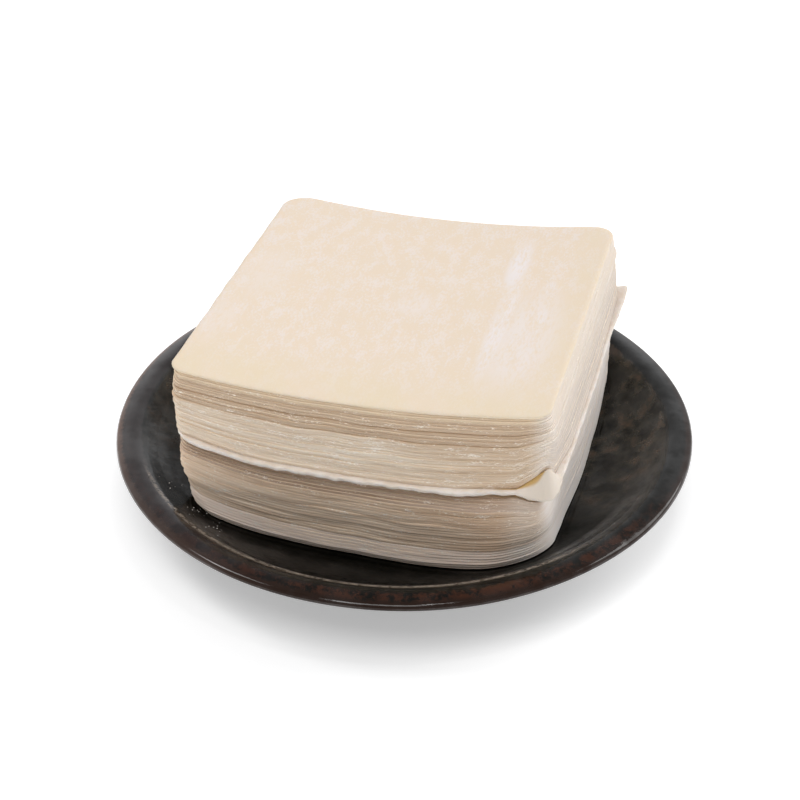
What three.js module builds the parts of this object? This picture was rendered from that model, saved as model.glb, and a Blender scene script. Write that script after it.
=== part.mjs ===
// A stack of square wonton wrappers on a small round stoneware plate.
//
// Millimetres, +Z up. The origin is on the table under the middle of the plate. +X runs along the
// front edge of the stack, towards its right end, and +Y from the front of the stack to its back.
// Every wrapper is a thin sheet of its own: the lowest follows the dish, the highest sags into a
// shallow trough, and those between pass gradually from the one form to the other.

import * as THREE from 'three';

// Plate: a shallow thrown dish with a flange round it and a foot ring under it
const PLATE_RADIUS = 73.5;
const PLATE_HEIGHT = 21;
const CREST_RADIUS = 68;
const FLANGE_RADIUS = 72;
const FLANGE_DROP = 0.7;
const LIP_DROP = 1.4;
const LIP_UNDERSIDE_RADIUS = 71;
const LIP_UNDERSIDE_DROP = 3.2;
const FLOOR_RADIUS = 43;
const FLOOR_HEIGHT = 9;
const FLOOR_THICKNESS = 5;
const DISH_POWER = 1.9;
const DISH_STEPS = 6;
const WALL_THICKNESS = 5.5;
const FOOT_RADIUS = 41;
const FOOT_WIDTH = 5;
const FOOT_TAPER = 1;
const PLATE_SEGMENTS = 48;

// Wrappers: machine-cut squares of rolled dough, dusted with flour
const WRAPPER_COUNT = 56;
const WRAPPER_SIDE = 92;
const WRAPPER_THICKNESS = 0.45;
const CORNER_RADIUS = 5.5;
const SIDE_SPREAD = 0.3;
const SHIFT_SPREAD = 0.35;
const TURN_SPREAD = THREE.MathUtils.degToRad(0.15);
const TOP_WRAPPER_SIDE = 90;
const TAPER_COUNT = 8;

// Stack: where it stands on the plate and the form of its upper face
const STACK_X = 0;
const STACK_Y = 1;
const REST_GAP = 0.3;
const STACK_TOP = 53.2;
const TROUGH_DEPTH = 3.35;
const ROLL_RISE = 1.3;
const PITCH_RISE = 0.4;

// The stray wrapper stands out between the two bundles, further to the front and the right
const STRAY = 28;
const STRAY_SIDE = 94.4;
const STRAY_SHIFT_X = 1.4;
const STRAY_SHIFT_Y = -0.3;
const LOWER_BUNDLE_SHIFT_X = 0.9;
const LOWER_BUNDLE_TURN = THREE.MathUtils.degToRad(-0.6);
const RECESS_SHIFT_Y = 0.9;
const RECESS_COUNT = 4;

// Looser places: the wrapper above each, and the extra gap as a share of a wrapper's own pitch
const PARTINGS = { 6: 0.35, 10: 0.45, 17: 0.3, 21: 0.35, 28: 0.6, 29: 0.3, 44: 0.5, 47: 0.5, 50: 0.5, 53: 0.2 };

// Mesh of a wrapper: an outer loop, two loops inside it that all wrappers share, and a middle point
const EDGE_BAND = 5;
const INNER_SCALE = 0.5;
const CORNER_POINTS = 3;
const SIDE_POINTS = 2;
const RANDOM_SEED = 26;

const HALF_TOP = TOP_WRAPPER_SIDE / 2;
const DISH_DEPTH = PLATE_HEIGHT - FLOOR_HEIGHT;

/** Repeatable random numbers from 0 to 1. */
function seededRandom(seed) {
  let state = seed;
  return () => {
    state = (state + 0x6d2b79f5) | 0;
    let mixed = Math.imul(state ^ (state >>> 15), 1 | state);
    mixed = (mixed + Math.imul(mixed ^ (mixed >>> 7), 61 | mixed)) ^ mixed;
    return ((mixed ^ (mixed >>> 14)) >>> 0) / 2 ** 32;
  };
}

const random = seededRandom(RANDOM_SEED);

/** A random offset between minus and plus the given spread. */
function spread(amount) {
  return amount * (2 * random() - 1);
}

/** Height of the dish's upper face at a distance from the plate's axis. */
function dishHeight(radius) {
  const climb = THREE.MathUtils.clamp((radius - FLOOR_RADIUS) / (CREST_RADIUS - FLOOR_RADIUS), 0, 1);
  return FLOOR_HEIGHT + DISH_DEPTH * climb ** DISH_POWER;
}

/** Height of the stack's upper face, a trough along Y that rises to the right and to the back. */
function topHeight(x, y) {
  const across = (x - STACK_X) / HALF_TOP;
  const along = (y - STACK_Y) / HALF_TOP;
  return STACK_TOP + ROLL_RISE * across + PITCH_RISE * along + TROUGH_DEPTH * across ** 2;
}

/** For each wrapper, the share of the stack's height at which its middle lies. */
function stackLevels() {
  const middles = [];
  let height = 0;
  for (let number = 1; number <= WRAPPER_COUNT; number += 1) {
    height += PARTINGS[number] ?? 0;
    middles.push(height + 0.5);
    height += 1;
  }
  return middles.map((middle) => middle / height);
}

const LEVELS = stackLevels();

/** Height of a wrapper's middle surface over a point of the plate. */
function wrapperHeight(number, x, y) {
  const bottom = dishHeight(Math.hypot(x, y)) + REST_GAP;
  return THREE.MathUtils.lerp(bottom, topHeight(x, y), LEVELS[number - 1]);
}

/** Corner arcs and side points of a square with round corners, counterclockwise from the front right. */
function squareLoop(side, cornerRadius) {
  const points = [];
  const reach = side / 2 - cornerRadius;
  const quarter = Math.PI / 2;
  for (let corner = 0; corner < 4; corner += 1) {
    const middle = new THREE.Vector2(reach, -reach).rotateAround(new THREE.Vector2(), corner * quarter);
    for (let step = 0; step < CORNER_POINTS; step += 1) {
      const angle = (corner - 1 + step / (CORNER_POINTS - 1)) * quarter;
      points.push(new THREE.Vector2(Math.cos(angle), Math.sin(angle)).multiplyScalar(cornerRadius).add(middle));
    }
    const sideStart = points.at(-1);
    const sideRun = new THREE.Vector2(0, 2 * reach).rotateAround(new THREE.Vector2(), corner * quarter);
    for (let step = 1; step <= SIDE_POINTS; step += 1) {
      points.push(sideStart.clone().addScaledVector(sideRun, step / (SIDE_POINTS + 1)));
    }
  }
  return points;
}

/** Size and place of one wrapper: bundles are shifted a little, and each wrapper differs a little. */
function wrapperPlacement(number) {
  const placement = {
    side: WRAPPER_SIDE + spread(SIDE_SPREAD),
    shiftX: spread(SHIFT_SPREAD),
    shiftY: spread(SHIFT_SPREAD),
    turn: spread(TURN_SPREAD),
  };
  const depth = WRAPPER_COUNT - number;
  const below = STRAY - number;
  if (depth === 0) return { side: TOP_WRAPPER_SIDE, shiftX: 0, shiftY: 0, turn: 0 };
  if (below === 0) return { side: STRAY_SIDE, shiftX: STRAY_SHIFT_X, shiftY: STRAY_SHIFT_Y, turn: 0 };
  if (depth < TAPER_COUNT) placement.side -= (WRAPPER_SIDE - TOP_WRAPPER_SIDE) * (1 - depth / TAPER_COUNT);
  if (below > 0) {
    placement.shiftX += LOWER_BUNDLE_SHIFT_X;
    placement.turn += LOWER_BUNDLE_TURN;
  }
  if (below > 0 && below <= RECESS_COUNT) placement.shiftY += RECESS_SHIFT_Y * (1 - (below - 1) / RECESS_COUNT);
  return placement;
}

/** A point of a wrapper's middle surface over a point of the stack's plan. */
function surfacePoint(number, planPoint) {
  const x = STACK_X + planPoint.x;
  const y = STACK_Y + planPoint.y;
  return new THREE.Vector3(x, y, wrapperHeight(number, x, y));
}

/**
 * Points of a wrapper's middle surface: outer loop, band loop, inner loop, middle. All wrappers share
 * the plan of the inner ones. An outer point slides along the straight line from its band point, as
 * far as the wrapper's size and place ask, so neighbouring sheets bend alike and never cross.
 */
function wrapperPoints(number) {
  const { side, shiftX, shiftY, turn } = wrapperPlacement(number);
  const bandSide = WRAPPER_SIDE - 2 * EDGE_BAND;
  const bandPlan = squareLoop(bandSide, CORNER_RADIUS);
  const innerPlan = squareLoop(bandSide * INNER_SCALE, CORNER_RADIUS).filter((point, index) => index % 2 === 0);
  const shift = new THREE.Vector2(shiftX, shiftY);
  const outer = squareLoop(WRAPPER_SIDE, CORNER_RADIUS).map((tip, index) => {
    const root = bandPlan[index];
    const spoke = tip.clone().sub(root);
    const placed = tip.clone().multiplyScalar(side / WRAPPER_SIDE).rotateAround(new THREE.Vector2(), turn).add(shift);
    const reach = placed.sub(root).dot(spoke) / spoke.lengthSq();
    return surfacePoint(number, root).lerp(surfacePoint(number, tip), reach);
  });
  const shared = [...bandPlan, ...innerPlan, new THREE.Vector2()];
  return [...outer, ...shared.map((point) => surfacePoint(number, point))];
}

/** Triangles of a wrapper's face over its points, counterclockwise seen from above. */
function faceTriangles(loopSize) {
  const triangles = [];
  const band = loopSize;
  const inner = 2 * loopSize;
  const innerSize = loopSize / 2;
  const middle = inner + innerSize;
  for (let index = 0; index < loopSize; index += 1) {
    const next = (index + 1) % loopSize;
    triangles.push([index, next, band + next], [index, band + next, band + index]);
  }
  for (let index = 0; index < innerSize; index += 1) {
    const next = (index + 1) % innerSize;
    const [first, between, last] = [2 * index, 2 * index + 1, 2 * next].map((place) => band + place);
    const [near, far] = [inner + index, inner + next];
    triangles.push([near, first, between], [near, between, far], [far, between, last], [middle, near, far]);
  }
  return triangles;
}

/** A closed thin sheet: one face above the middle surface, the same face below it, and the cut edge. */
function wrapperGeometry(number) {
  const points = wrapperPoints(number);
  const loopSize = 4 * (CORNER_POINTS + SIDE_POINTS);
  const half = WRAPPER_THICKNESS / 2;
  const positions = [half, -half].flatMap((offset) => points.flatMap(({ x, y, z }) => [x, y, z + offset]));
  const under = points.length;
  const upper = faceTriangles(loopSize);
  const lower = upper.map(([a, b, c]) => [under + a, under + c, under + b]);
  const edge = [];
  for (let index = 0; index < loopSize; index += 1) {
    const next = (index + 1) % loopSize;
    edge.push([index, under + index, under + next], [index, under + next, next]);
  }
  const geometry = new THREE.BufferGeometry();
  geometry.setAttribute('position', new THREE.Float32BufferAttribute(positions, 3));
  geometry.setIndex([...upper, ...lower, ...edge].flat());
  geometry.computeVertexNormals();
  return geometry;
}

/** Outline of the plate's section, from the axis under the foot round the lip to the axis above. */
function plateProfile() {
  const underside = FLOOR_HEIGHT - FLOOR_THICKNESS;
  const footInside = FOOT_RADIUS - FOOT_WIDTH;
  const wallUnderside = (CREST_RADIUS + FLOOR_RADIUS) / 2 + FOOT_TAPER;
  const profile = [
    [0, underside],
    [footInside - FOOT_TAPER, underside],
    [footInside, 0],
    [FOOT_RADIUS, 0],
    [FOOT_RADIUS + FOOT_TAPER, underside],
    [wallUnderside, dishHeight(wallUnderside) - WALL_THICKNESS],
    [CREST_RADIUS, PLATE_HEIGHT - WALL_THICKNESS - FLANGE_DROP],
    [LIP_UNDERSIDE_RADIUS, PLATE_HEIGHT - LIP_UNDERSIDE_DROP],
    [PLATE_RADIUS, PLATE_HEIGHT - LIP_DROP],
    [FLANGE_RADIUS, PLATE_HEIGHT - FLANGE_DROP],
  ];
  for (let step = DISH_STEPS; step >= 0; step -= 1) {
    const radius = THREE.MathUtils.lerp(FLOOR_RADIUS, CREST_RADIUS, step / DISH_STEPS);
    profile.push([radius, dishHeight(radius)]);
  }
  profile.push([0, FLOOR_HEIGHT]);
  return profile.map(([radius, height]) => new THREE.Vector2(radius, height));
}

function buildPlate() {
  const geometry = new THREE.LatheGeometry(plateProfile(), PLATE_SEGMENTS);
  const glaze = new THREE.MeshStandardMaterial({ color: 0x2b2623, roughness: 0.22, metalness: 0 });
  const plate = new THREE.Mesh(geometry, glaze);
  plate.name = 'plate';
  plate.rotation.x = Math.PI / 2;
  return plate;
}

function buildWrapper(number) {
  const dough = new THREE.MeshStandardMaterial({ color: 0xebdfc6, roughness: 0.8, metalness: 0 });
  const wrapper = new THREE.Mesh(wrapperGeometry(number), dough);
  wrapper.name = `wrapper_${String(number).padStart(2, '0')}`;
  return wrapper;
}

const stack = new THREE.Group();
stack.add(buildPlate());
for (let number = 1; number <= WRAPPER_COUNT; number += 1) stack.add(buildWrapper(number));

export default stack;
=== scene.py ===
import math
import bpy
import numpy as np
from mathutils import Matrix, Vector


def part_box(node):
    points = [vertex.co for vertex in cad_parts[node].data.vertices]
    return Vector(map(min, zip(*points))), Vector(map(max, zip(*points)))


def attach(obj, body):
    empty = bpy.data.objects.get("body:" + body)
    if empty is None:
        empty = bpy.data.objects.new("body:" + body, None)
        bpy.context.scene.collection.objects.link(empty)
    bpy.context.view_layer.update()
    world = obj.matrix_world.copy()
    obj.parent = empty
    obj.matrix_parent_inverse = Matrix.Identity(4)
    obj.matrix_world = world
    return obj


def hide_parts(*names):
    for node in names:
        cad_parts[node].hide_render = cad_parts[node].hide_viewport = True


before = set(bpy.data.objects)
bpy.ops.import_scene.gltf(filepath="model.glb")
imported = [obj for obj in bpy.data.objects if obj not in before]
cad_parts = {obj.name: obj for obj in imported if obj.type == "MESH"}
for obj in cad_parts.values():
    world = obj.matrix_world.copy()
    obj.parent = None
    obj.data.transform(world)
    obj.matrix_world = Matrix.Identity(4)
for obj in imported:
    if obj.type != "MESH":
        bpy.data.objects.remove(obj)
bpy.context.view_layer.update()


# Plate: a small stoneware dish thrown on a wheel, with a flange round its rim and a turned foot ring.
# It is dipped in a dark iron glaze, which runs thin and breaks to rust brown on the flange, shows the
# clay along the crest, painted lighter at the front as a highlight too, and is blotched black, olive and
# brown in the hollow, painted almost black towards its front as painted shade under the stack.
MM = 0.001
PLATE_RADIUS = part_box("plate")[1].x / MM
PLATE_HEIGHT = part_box("plate")[1].z / MM
CREST_RADIUS = 68.0
CREST_OVER = 0.35
CREST_ROUND = 3.0
FLOOR_RADIUS = 43.0
FLOOR_HEIGHT = 9.0
DISH_POWER = 1.9
WALL_TOP = 63.5
WALL_JOIN = 0.4
WALL_STEPS = 48
FLOOR_STEPS = 14
ROUND_STEPS = 7
PLATE_SEGMENTS = 288
FOOT_CLEAR = 43.0
RIM_SWAY = 0.16
RIM_WAVES = [(2, 1.0, 0.6), (3, 0.6, 2.1), (7, 0.35, 0.0)]
OVAL_POWER = 6
OVAL_COUNT = 3
OVAL_PHASE = 1.0

# Corners of the plate's section from the axis under it to the lip: radius, height and rounding.
UNDERSIDE = [(0, 4, 0), (34.8, 4, 1.6), (36.1, 0, 0.8), (40.9, 0, 0.8), (42.2, 4.4, 2.2), (56, 7.6, 6),
             (67, 14.6, 3.5), (70.8, 17.2, 1.2), (73.8, 18.6, 0.7), (73.3, 19.85, 0.6)]


def dish_height(radius):
    """Height of the dish's upper face, in millimetres, at a distance from the plate's axis."""
    climb = np.clip((radius - FLOOR_RADIUS) / (CREST_RADIUS - FLOOR_RADIUS), 0, 1)
    return FLOOR_HEIGHT + (PLATE_HEIGHT - FLOOR_HEIGHT) * climb ** DISH_POWER


def rounded_path(corners):
    """A path through corners (x, y, rounding), each rounded by an arc-like curve of that reach."""
    path = []
    places = [np.array(corner[:2]) for corner in corners]
    for index, (place, corner) in enumerate(zip(places, corners)):
        reach = corner[2]
        if index in (0, len(corners) - 1) or reach == 0:
            path.append(place)
            continue
        before, after = places[index - 1] - place, places[index + 1] - place
        start = place + before / np.linalg.norm(before) * reach
        end = place + after / np.linalg.norm(after) * reach
        for share in np.linspace(0, 1, ROUND_STEPS):
            path.append((1 - share) ** 2 * start + 2 * share * (1 - share) * place + share ** 2 * end)
    return np.array(path)


def plate_section():
    """The plate's section from the axis under it, out round the foot and the lip, and back to the axis."""
    crest = [(CREST_RADIUS, PLATE_HEIGHT + CREST_OVER, CREST_ROUND), (WALL_TOP, dish_height(WALL_TOP), 0)]
    outside = rounded_path(UNDERSIDE + crest)
    wall = np.linspace(WALL_TOP - WALL_JOIN, FLOOR_RADIUS, WALL_STEPS)
    floor = np.linspace(FLOOR_RADIUS, 0, FLOOR_STEPS)[1:]
    radii = np.concatenate([wall, floor])
    return np.vstack([outside, np.stack([radii, dish_height(radii)], axis=1)])


def rim_lift(radius, turn):
    """How far the plate's slow sway lifts it at a distance and a turn round its axis."""
    share = np.clip((radius - FOOT_CLEAR) / (PLATE_RADIUS - FOOT_CLEAR), 0, 1) ** 2
    return share * RIM_SWAY * sum(size * np.sin(count * turn + phase) for count, size, phase in RIM_WAVES)


def tube_faces(rings, count):
    """Faces between closed rings of vertices, and fans to the two poles numbered after the rings."""
    faces = []
    first_pole, last_pole = rings * count, rings * count + 1
    last = (rings - 1) * count
    for step in range(count):
        after = (step + 1) % count
        for low in range(0, last, count):
            faces.append((low + step, low + after, low + count + after, low + count + step))
        faces.append((after, step, first_pole))
        faces.append((last + step, last + after, last_pole))
    return faces


def plate_mesh():
    """Vertices and faces of the turned plate, with a slow sway of its rim."""
    section = plate_section()
    turn = np.linspace(0, 2 * math.pi, PLATE_SEGMENTS, endpoint=False)
    inner = section[1:-1]
    radius = inner[:, 0][:, None]
    height = inner[:, 1][:, None] + rim_lift(radius, turn)
    oval = np.clip(radius / PLATE_RADIUS, 0, 1) ** OVAL_POWER * np.sin(OVAL_COUNT * turn + OVAL_PHASE)
    reach = radius + RIM_SWAY * oval
    rings = np.stack([reach * np.cos(turn), reach * np.sin(turn), height], axis=-1)
    poles = [[0, 0, section[0, 1]], [0, 0, section[-1, 1]]]
    return np.vstack([rings.reshape(-1, 3), poles]), tube_faces(len(inner), PLATE_SEGMENTS)


def mesh_piece(name, vertices, faces, material, slot):
    """A new smooth mesh object in metres from vertices in millimetres, riding on the part's one body."""
    mesh = bpy.data.meshes.new(name)
    mesh.from_pydata((np.asarray(vertices) * MM).tolist(), [], faces)
    mesh.polygons.foreach_set("use_smooth", [True] * len(mesh.polygons))
    mesh.materials.append(material)
    mesh.update()
    piece = bpy.data.objects.new(name, mesh)
    bpy.context.scene.collection.objects.link(piece)
    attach(piece, "root")
    return piece


def new_material(name):
    """A node material with its tree and shader."""
    material = bpy.data.materials.new(name)
    material.use_nodes = True
    return material, material.node_tree, material.node_tree.nodes["Principled BSDF"]


def add_node(tree, kind, links=None, **settings):
    """A node with its settings, and its inputs set to values or linked to other nodes' outputs."""
    node = tree.nodes.new(kind)
    for key, value in settings.items():
        setattr(node, key, value)
    for socket, value in (links or {}).items():
        if isinstance(value, bpy.types.NodeSocket):
            tree.links.new(value, node.inputs[socket])
        else:
            node.inputs[socket].default_value = value
    return node


def split(tree, vector):
    """The X, Y and Z outputs of a vector."""
    return add_node(tree, "ShaderNodeSeparateXYZ", {"Vector": vector}).outputs


def noise(tree, place, scale, detail, roughness=0.6):
    """The value of a noise over the surface, with features of about one part in scale of a metre."""
    node = add_node(tree, "ShaderNodeTexNoise", {"Vector": place, "Scale": scale, "Detail": detail,
                                                 "Roughness": roughness})
    return node.outputs["Fac"]


def smooth_step(tree, value, low, high, bottom=0.0, top=1.0):
    """A value that goes smoothly from bottom to top while the given one goes from low to high."""
    node = add_node(tree, "ShaderNodeMapRange", {"Value": value, "From Min": low, "From Max": high,
                                                 "To Min": bottom, "To Max": top},
                    interpolation_type="SMOOTHSTEP")
    return node.outputs["Result"]


def compute(tree, operation, *values):
    """The result of a Math node."""
    return add_node(tree, "ShaderNodeMath", dict(enumerate(values)), operation=operation).outputs["Value"]


def product(tree, value, *others):
    """Values multiplied together."""
    for other in others:
        value = compute(tree, "MULTIPLY", value, other)
    return value


def blend(tree, factor, first, second):
    """A colour that goes from the first to the second with the factor."""
    node = add_node(tree, "ShaderNodeMix", {"Factor": factor, "A": first, "B": second}, data_type="RGBA")
    return node.outputs["Result"]


def colour_ramp(tree, value, stops):
    """A colour looked up at a value in stops of (position, colour)."""
    node = add_node(tree, "ShaderNodeValToRGB", {"Fac": value})
    elements = node.color_ramp.elements
    while len(elements) < len(stops):
        elements.new(1.0)
    for element, (position, colour) in zip(elements, stops):
        element.position = position
        element.color = colour
    return node.outputs["Color"]


# Colours of the glaze, then its noises as (scale, detail, roughness).
GLAZE_BLACK = (0.0018, 0.0019, 0.0013, 1)
GLAZE_OLIVE = (0.0220, 0.0200, 0.0148, 1)
GLAZE_BROWN = (0.058, 0.037, 0.024, 1)
HOLLOW_STOPS = [(0.40, GLAZE_BLACK), (0.55, GLAZE_OLIVE), (0.72, GLAZE_BROWN)]
RIM_OLIVE = (0.0050, 0.0047, 0.0038, 1)
RIM_RUST = (0.046, 0.0165, 0.0085, 1)
RIM_PLUM_SHEEN = (0.0205, 0.0125, 0.0125, 1)
PLUM_SHEEN_SHARE = 0.7
CREST_CLAY_HIGHLIGHT = (0.250, 0.210, 0.172, 1)
LIP_BROWN = (0.150, 0.088, 0.066, 1)
LIP_DARK = (0.020, 0.0095, 0.0060, 1)
BLOTCHES = (230, 3, 0.5)
SPECKS = (800, 3, 0.7)
SHINE_PATCHES = (130, 3, 0.6)

# Where finishes start and end, in metres from the axis or along X or Y, some with their two strengths.
BORDER_WANDER = 0.0016
CREST_START = (0.0666, 0.0673)
CREST_END = (0.0676, 0.0683)
FLANGE_START = (0.0694, 0.0707)
LIP_START = (0.0714, 0.0728)
LEFT_SIDE = (0.0, -0.045)
RUST_FRONT = (-0.005, -0.045)
CLAY_HIGHLIGHT_FRONT = (-0.034, -0.050)
PAINTED_SHADE_FRONT = (0.012, -0.034, 0.0, 0.95)
LIP_BROWN_SPAN = (-0.056, -0.016, 0.2, 1.0)
POOL_FRONT = (-0.002, -0.024)
POOL_RIM = (0.0630, 0.0600)

# How the glaze's noises turn into rust, bare clay, roughness and shine, and how dull the pool is.
RUST_BREAK = (0.40, 0.60)
CLAY_BREAK = (0.35, 0.6)
GLAZE_ROUGHNESS = (0.3, 0.7, 0.15, 0.27)
LIP_GLOSS = (0.0700, 0.0715, 1.0, 0.5)
GLAZE_SHINE = (0.36, 0.64, 0.33, 0.71)
POOL_DULLNESS = (0.020, 0.042, 0.62, 0.94)
GLAZE_IOR = 1.42
SHEEN_SHARE = 0.3
SHEEN_ROUGHNESS = 0.16
GLAZE_RELIEF = 0.10
GLAZE_RELIEF_DEPTH = 0.0008


def iron_glaze():
    """Dark glossy glaze, blotched olive and brown, with clay along the crest, lighter at the front as a
    painted highlight, and rust on the flange.
    """
    material, tree, shader = new_material("iron_glaze")
    place = add_node(tree, "ShaderNodeTexCoord").outputs["Object"]
    apart = split(tree, place)
    flat = add_node(tree, "ShaderNodeCombineXYZ", {"X": apart["X"], "Y": apart["Y"]}).outputs["Vector"]
    radius = add_node(tree, "ShaderNodeVectorMath", {0: flat}, operation="LENGTH").outputs["Value"]
    blotches = noise(tree, place, *BLOTCHES)
    specks = noise(tree, place, *SPECKS)
    inward = compute(tree, "SUBTRACT", radius, BORDER_WANDER / 2)
    ragged = compute(tree, "MULTIPLY_ADD", specks, BORDER_WANDER, inward)
    left = smooth_step(tree, apart["X"], *LEFT_SIDE)
    crest = smooth_step(tree, ragged, *CREST_START)

    # Painted shade: towards the front the hollow, which lies in the stack's shade, is painted almost black.
    front_shade = smooth_step(tree, apart["Y"], *PAINTED_SHADE_FRONT)
    shaded_hollow = blend(tree, front_shade, colour_ramp(tree, blotches, HOLLOW_STOPS), GLAZE_BLACK)
    patchy = compute(tree, "MULTIPLY_ADD", specks, 0.5, product(tree, blotches, 0.5))
    broken = product(tree, smooth_step(tree, patchy, *RUST_BREAK), smooth_step(tree, apart["Y"], *RUST_FRONT))
    rust = blend(tree, broken, RIM_OLIVE, RIM_RUST)
    flange = blend(tree, smooth_step(tree, ragged, *FLANGE_START), RIM_OLIVE, rust)
    # On the left the flange is a lighter plum: partly its own glaze, partly painted sheen where the light on
    # that side falls.
    flange_with_sheen = blend(tree, product(tree, left, PLUM_SHEEN_SHARE), flange, RIM_PLUM_SHEEN)
    # The lip is brown on its left side and darker towards the front.
    brown_lip = product(tree, left, smooth_step(tree, apart["Y"], *LIP_BROWN_SPAN))
    lip_glaze = blend(tree, brown_lip, LIP_DARK, LIP_BROWN)
    rim = blend(tree, smooth_step(tree, ragged, *LIP_START), flange_with_sheen, lip_glaze)
    glazed = blend(tree, crest, shaded_hollow, rim)
    # Bare clay along the crest, shown only at the front, where it also stands in for the crest's painted
    # highlight.
    ridge = compute(tree, "SUBTRACT", crest, smooth_step(tree, ragged, *CREST_END))
    highlit_front = smooth_step(tree, apart["Y"], *CLAY_HIGHLIGHT_FRONT)
    clay_and_highlight = product(tree, ridge, highlit_front, smooth_step(tree, specks, *CLAY_BREAK))
    tree.links.new(blend(tree, clay_and_highlight, glazed, CREST_CLAY_HIGHLIGHT), shader.inputs["Base Color"])

    matt = smooth_step(tree, specks, *GLAZE_ROUGHNESS)
    gloss = product(tree, matt, smooth_step(tree, ragged, *LIP_GLOSS))
    tree.links.new(gloss, shader.inputs["Roughness"])
    shader.inputs["IOR"].default_value = GLAZE_IOR
    dullness = smooth_step(tree, apart["X"], *POOL_DULLNESS)
    pool = product(tree, smooth_step(tree, apart["Y"], *POOL_FRONT), dullness,
                   smooth_step(tree, radius, *POOL_RIM))
    patches = smooth_step(tree, noise(tree, place, *SHINE_PATCHES), *GLAZE_SHINE)
    shine = product(tree, patches, compute(tree, "SUBTRACT", 1.0, pool))
    tree.links.new(shine, shader.inputs["Specular IOR Level"])
    tree.links.new(product(tree, left, crest, SHEEN_SHARE), shader.inputs["Coat Weight"])
    shader.inputs["Coat Roughness"].default_value = SHEEN_ROUGHNESS
    bump = add_node(tree, "ShaderNodeBump", {"Height": blotches, "Strength": GLAZE_RELIEF,
                                             "Distance": GLAZE_RELIEF_DEPTH})
    tree.links.new(bump.outputs["Normal"], shader.inputs["Normal"])
    return material


plate = mesh_piece("glazed_plate", *plate_mesh(), iron_glaze(), "glaze")
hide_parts("plate")


# Lower bundle: thin squares of rolled wheat dough, cut by machine, dusted with flour and stacked still soft.
# The lowest ones sag into the dish, the top one of all into a trough, and those between pass from one to
# the other. They stick together in flat bands and part a little along the edges between the bands.
SHEETS = 56
STRAY = 28
NUMBERS = range(1, SHEETS + 1)
STACK_MIDDLE = np.array([0.0, 1.0])
STACK_TOP = 53.2
TROUGH_DEPTH = 3.35
TROUGH_REACH = 45.0
ROLL_RISE = 1.3
PITCH_RISE = 0.4
REST_GAP = 0.3
GRID_POINTS = 721
ANGLE_GRID = np.linspace(0, 2 * math.pi, GRID_POINTS)

# Random waves round the stack as (seed, fewest bends, and one more than the most bends).
SWELL_WAVES = (100, 4, 26)
PART_WAVES = (300, 2, 10)
WANDER_WAVES = (500, 3, 40)
BAND_WAVES = (700, 2, 16)
CRINKLE_WAVES = (803, 12, 90)
RAGGED_WAVES = (801, 40, 200)


def top_height(x, y):
    """Height of the stack's upper face: a trough along Y that rises to the right and to the back."""
    across = (x - STACK_MIDDLE[0]) / TROUGH_REACH
    along = (y - STACK_MIDDLE[1]) / TROUGH_REACH
    return STACK_TOP + ROLL_RISE * across + PITCH_RISE * along + TROUGH_DEPTH * across ** 2


def angle_round(x, y):
    """Angle of points round the stack's middle, from nothing to a full turn."""
    return np.arctan2(y - STACK_MIDDLE[1], x - STACK_MIDDLE[0]) % (2 * math.pi)


def ripple(seed, low, high):
    """A smooth random wave round the stack, on the grid of angles, about -1 to 1."""
    random = np.random.default_rng(seed)
    counts = np.arange(low, high)
    sizes = random.normal(0, 1, len(counts)) / math.sqrt(len(counts))
    phases = random.uniform(0, 2 * math.pi, len(counts))
    return (sizes[:, None] * np.cos(counts[:, None] * ANGLE_GRID + phases[:, None])).sum(0)


def sheet_waves(seed, low, high):
    """A smooth random wave for every sheet."""
    return np.array([ripple(seed + index, low, high) for index in range(SHEETS)])


def along_course(course):
    """A value for every sheet from those given at some sheets."""
    return np.interp(NUMBERS, list(course), list(course.values()))


def node_middle(number):
    """Middle of a wrapper's solid in the plate's plan."""
    low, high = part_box(f"wrapper_{number:02d}")
    return np.array([low.x + high.x, low.y + high.y]) / MM / 2


# Layers: how thick the sheets are, and how wide the parting under the first sheet of each band opens.
SHEET_SIDE = 92.0
UPPER_WEIGHT = 0.87
STRAY_WEIGHT = 1.4
EDGE_REACH = 15.0
BODY_SHARE = 0.497
SWELL_SHARE = 0.06
SWELL = sheet_waves(*SWELL_WAVES)
BAND_GAPS = {1: 0.0, 8: 0.10, 10: 0.05, 12: 0.02, 15: 0.03, 17: 0.08, 21: 0.14, 24: 0.04, 28: 1.6,
             29: 0.0, 32: 0.06, 35: 0.06, 38: 0.08, 41: 0.06, 44: 0.08, 46: 0.32, 48: 0.16, 50: 0.40,
             53: 0.10, 56: 0.12}
BAND_STARTS = sorted(BAND_GAPS)
OPENING = np.array([BAND_GAPS.get(number, 0.0) for number in NUMBERS])
PART_MEAN = 0.85
PART_SPREAD = 0.3
PART_LIMITS = (0.2, 1.5)
PART = (PART_MEAN + PART_SPREAD * sheet_waves(*PART_WAVES)).clip(*PART_LIMITS)
PART[STRAY - 1] = 1.0
WEIGHT = np.array([1.0 if number < STRAY else UPPER_WEIGHT for number in NUMBERS])
WEIGHT[STRAY - 1] = STRAY_WEIGHT
RIGHT_PRESS = 0.95
TINY = 1e-6
PRESS_START = 0.62
PRESS_FADE = 0.10

# The wedge at the front right corner, where the stray sheet leaves the bundle above.
LIFT_CORNER = np.array([46.0, -45.0])
LIFT_REACH = 7.4
LIFT_SHARE = 0.14
SAG_SHARE = 0.09
STRAY_SIDE = 94.4
STRAY_MIDDLE = node_middle(STRAY)
FLAP_ROUND = 3.5
FLAP_WIDTH = 2.0
FLAP_POWER = 1.2


def right_press(x, y):
    """How far the partings are pressed shut, from 0 to 1: nearly shut on the stack's right face."""
    across = (x - STACK_MIDDLE[0]) / np.hypot(x - STACK_MIDDLE[0], y - STACK_MIDDLE[1]).clip(TINY)
    return RIGHT_PRESS * np.clip((across - PRESS_START) / PRESS_FADE, 0, 1)


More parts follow.
